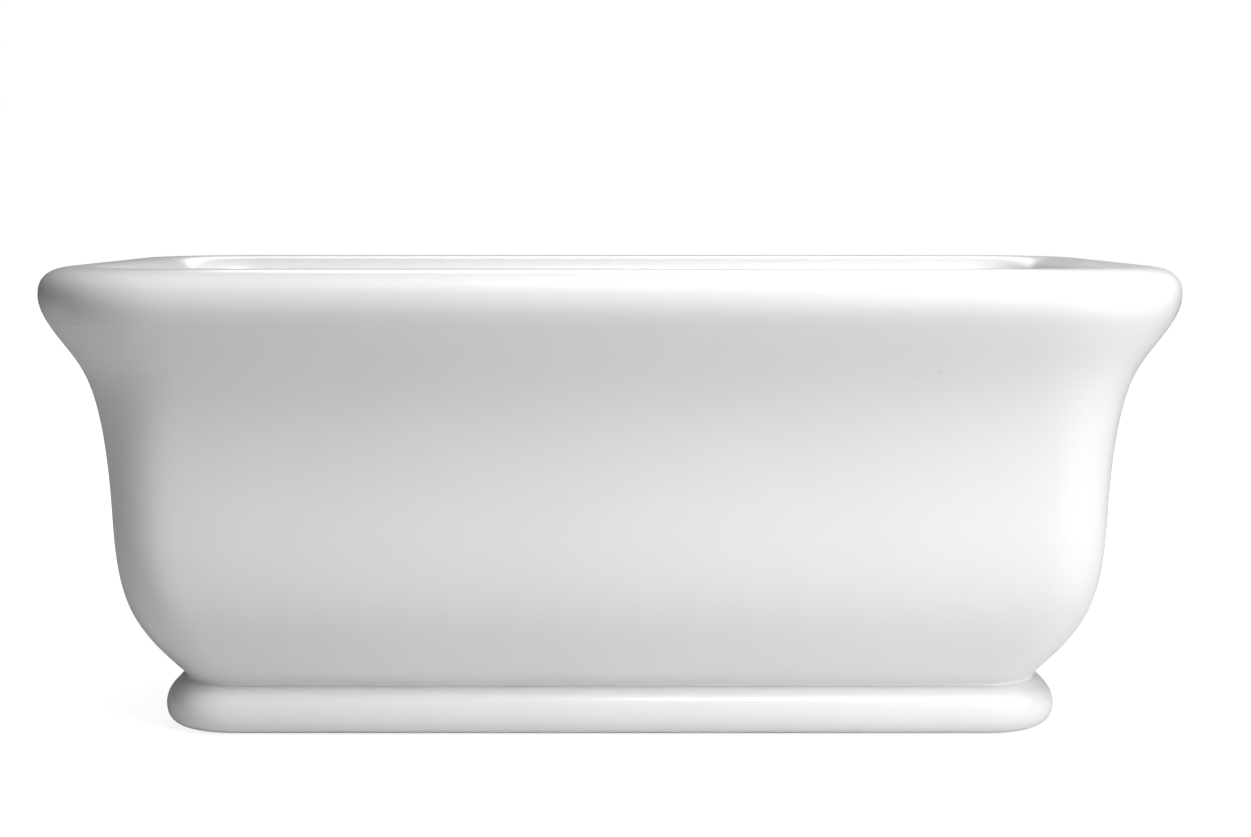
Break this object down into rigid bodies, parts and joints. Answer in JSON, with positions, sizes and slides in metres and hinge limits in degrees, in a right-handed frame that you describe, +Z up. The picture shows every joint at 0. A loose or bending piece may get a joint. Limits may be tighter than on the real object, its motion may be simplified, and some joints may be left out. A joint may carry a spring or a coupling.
{
  "type": "freestanding bathtub",
  "caption": "Freestanding rectangular double-ended bathtub: thick rolled rim, waisted double-skinned body, half-round plinth, levelling feet, push-to-close waste and overflow.",
  "frame": {"origin": "on the floor, under the middle of the bath", "axes": "+X along the bath, +Y towards the overflow side, +Z up; the front faces -Y"},
  "size_m": [1.6, 0.85, 0.67],
  "materials": {
    "acrylic": "soft-gloss white sanitary acrylic",
    "plywood": "raw birch-faced plywood",
    "galvanised_steel": "galvanised",
    "zinc_plated_steel": "bright zinc plate",
    "chrome": "polished chrome",
    "rubber": "matt black",
    "pvc": "off-white waste plastic",
    "black_nylon": "moulded black nylon",
    "brass": "machined"
  },
  "bodies": {
    "tub": {"basin": "acrylic", "outer_shell": "acrylic", "plinth": "acrylic", "baseboard": "plywood", "cradle_bar_left": "galvanised_steel", "cradle_bar_right": "galvanised_steel", "board_screw_1": "zinc_plated_steel", "plinth_bracket_1": "galvanised_steel", "bracket_bolt_1": "zinc_plated_steel", "flange_screw_1": "zinc_plated_steel", "weld_nut_1": "zinc_plated_steel", "lock_nut_1": "zinc_plated_steel", "board_screw_2": "zinc_plated_steel", "plinth_bracket_2": "galvanised_steel", "bracket_bolt_2": "zinc_plated_steel", "flange_screw_2": "zinc_plated_steel", "weld_nut_2": "zinc_plated_steel", "lock_nut_2": "zinc_plated_steel", "board_screw_3": "zinc_plated_steel", "plinth_bracket_3": "galvanised_steel", "bracket_bolt_3": "zinc_plated_steel", "flange_screw_3": "zinc_plated_steel", "weld_nut_3": "zinc_plated_steel", "lock_nut_3": "zinc_plated_steel", "board_screw_4": "zinc_plated_steel", "plinth_bracket_4": "galvanised_steel", "bracket_bolt_4": "zinc_plated_steel", "flange_screw_4": "zinc_plated_steel", "weld_nut_4": "zinc_plated_steel", "lock_nut_4": "zinc_plated_steel", "waste_flange": "chrome", "flange_seal": "rubber", "clamp_gasket": "rubber", "waste_body": "pvc", "tailpiece": "pvc", "tail_washer": "rubber", "tail_nut": "pvc", "stopper_cartridge": "brass", "overflow_cover": "chrome", "overflow_screw_1": "chrome", "overflow_screw_2": "chrome", "overflow_gasket": "rubber", "overflow_elbow": "pvc", "overflow_pipe": "pvc", "pipe_nut_upper": "pvc", "pipe_nut_lower": "pvc"},
    "stopper": {"stopper_cap": "chrome", "stopper_seal": "rubber", "stopper_plunger": "brass"},
    "foot_1_pad": {"foot_pad_1": "black_nylon"},
    "foot_1_stud": {"foot_stud_1": "zinc_plated_steel"},
    "foot_2_pad": {"foot_pad_2": "black_nylon"},
    "foot_2_stud": {"foot_stud_2": "zinc_plated_steel"},
    "foot_3_pad": {"foot_pad_3": "black_nylon"},
    "foot_3_stud": {"foot_stud_3": "zinc_plated_steel"},
    "foot_4_pad": {"foot_pad_4": "black_nylon"},
    "foot_4_stud": {"foot_stud_4": "zinc_plated_steel"}
  },
  "joints": [
    {"name": "stopper_lift", "type": "slide", "parent": "tub", "child": "stopper", "axis": [0, 0, 1], "range_m": [0, 0.009]},
    {"name": "foot_1_slide", "type": "slide", "parent": "tub", "child": "foot_1_pad", "axis": [0, 0, -1], "range_m": [0, 0.02]},
    {"name": "foot_1_turn", "type": "hinge", "parent": "foot_1_pad", "child": "foot_1_stud", "pos_m": [-0.38, -0.15, 0.027], "axis": [0, 0, -1], "range_deg": [0, 4115]},
    {"name": "foot_2_slide", "type": "slide", "parent": "tub", "child": "foot_2_pad", "axis": [0, 0, -1], "range_m": [0, 0.02]},
    {"name": "foot_2_turn", "type": "hinge", "parent": "foot_2_pad", "child": "foot_2_stud", "pos_m": [-0.38, 0.15, 0.027], "axis": [0, 0, -1], "range_deg": [0, 4115]},
    {"name": "foot_3_slide", "type": "slide", "parent": "tub", "child": "foot_3_pad", "axis": [0, 0, -1], "range_m": [0, 0.02]},
    {"name": "foot_3_turn", "type": "hinge", "parent": "foot_3_pad", "child": "foot_3_stud", "pos_m": [0.38, -0.15, 0.027], "axis": [0, 0, -1], "range_deg": [0, 4115]},
    {"name": "foot_4_slide", "type": "slide", "parent": "tub", "child": "foot_4_pad", "axis": [0, 0, -1], "range_m": [0, 0.02]},
    {"name": "foot_4_turn", "type": "hinge", "parent": "foot_4_pad", "child": "foot_4_stud", "pos_m": [0.38, 0.15, 0.027], "axis": [0, 0, -1], "range_deg": [0, 4115]}
  ],
  "couplings": [
    {"joint": "foot_1_turn", "follows": "foot_1_slide", "rad_per_m": 3590.4},
    {"joint": "foot_2_turn", "follows": "foot_2_slide", "rad_per_m": 3590.4},
    {"joint": "foot_3_turn", "follows": "foot_3_slide", "rad_per_m": 3590.4},
    {"joint": "foot_4_turn", "follows": "foot_4_slide", "rad_per_m": 3590.4}
  ]
}
